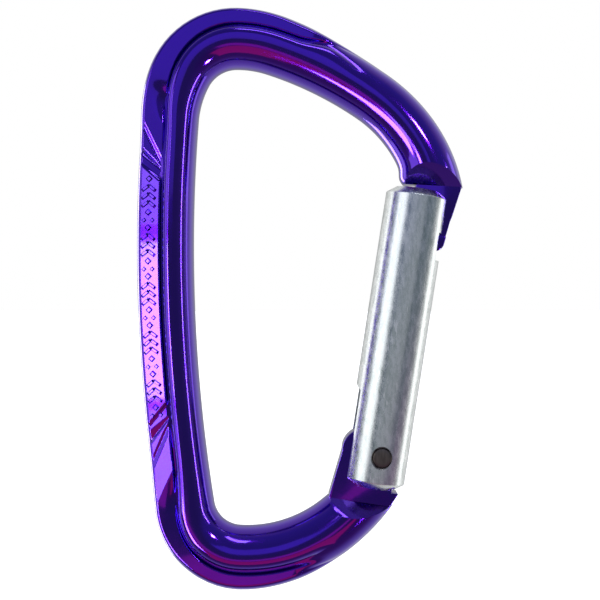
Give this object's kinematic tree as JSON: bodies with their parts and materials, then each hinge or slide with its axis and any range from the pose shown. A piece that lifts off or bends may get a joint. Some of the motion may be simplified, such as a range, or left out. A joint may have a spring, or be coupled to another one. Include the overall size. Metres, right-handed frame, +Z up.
{
  "type": "climbing carabiner",
  "caption": "Asymmetric D-shaped carabiner: a forged bar loop with a spring-closed solid gate that hooks onto a milled keylock nose.",
  "frame": {"origin": "bearing point of the top basket, on the loop's inner edge at mid-thickness", "axes": "+Z up along the loop from the bottom basket to the top basket, +X from the spine towards the gate, +Y through the thickness away from the front face"},
  "size_m": [0.0548, 0.0104, 0.0978],
  "materials": {
    "anodised_aluminium": "polished, anodised purple",
    "bright_aluminium": "bright, fine lengthwise draw lines",
    "rivet_steel": "dark, slightly dull",
    "plunger_steel": "turned",
    "spring_steel": "drawn wire"
  },
  "bodies": {
    "loop": {"body": "anodised_aluminium"},
    "gate": {"gate": "bright_aluminium", "hinge_rivet": "rivet_steel", "gate_spring": "spring_steel"},
    "plunger": {"plunger": "plunger_steel"}
  },
  "joints": [
    {"name": "gate_hinge", "type": "hinge", "parent": "loop", "child": "gate", "pos_m": [0.02425, 0, -0.06503], "axis": [0, -1, 0], "range_deg": [0, 28], "stiffness_Nm_per_rad": 0.28, "springref_deg": -42.97},
    {"name": "plunger_slide", "type": "slide", "parent": "gate", "child": "plunger", "axis": [0.1533, 0, 0.9882], "range_m": [0, 0.0016], "deforming": ["gate_spring"]}
  ],
  "couplings": [
    {"joint": "plunger_slide", "follows": "gate_hinge", "m_per_rad": 0.00313}
  ]
}
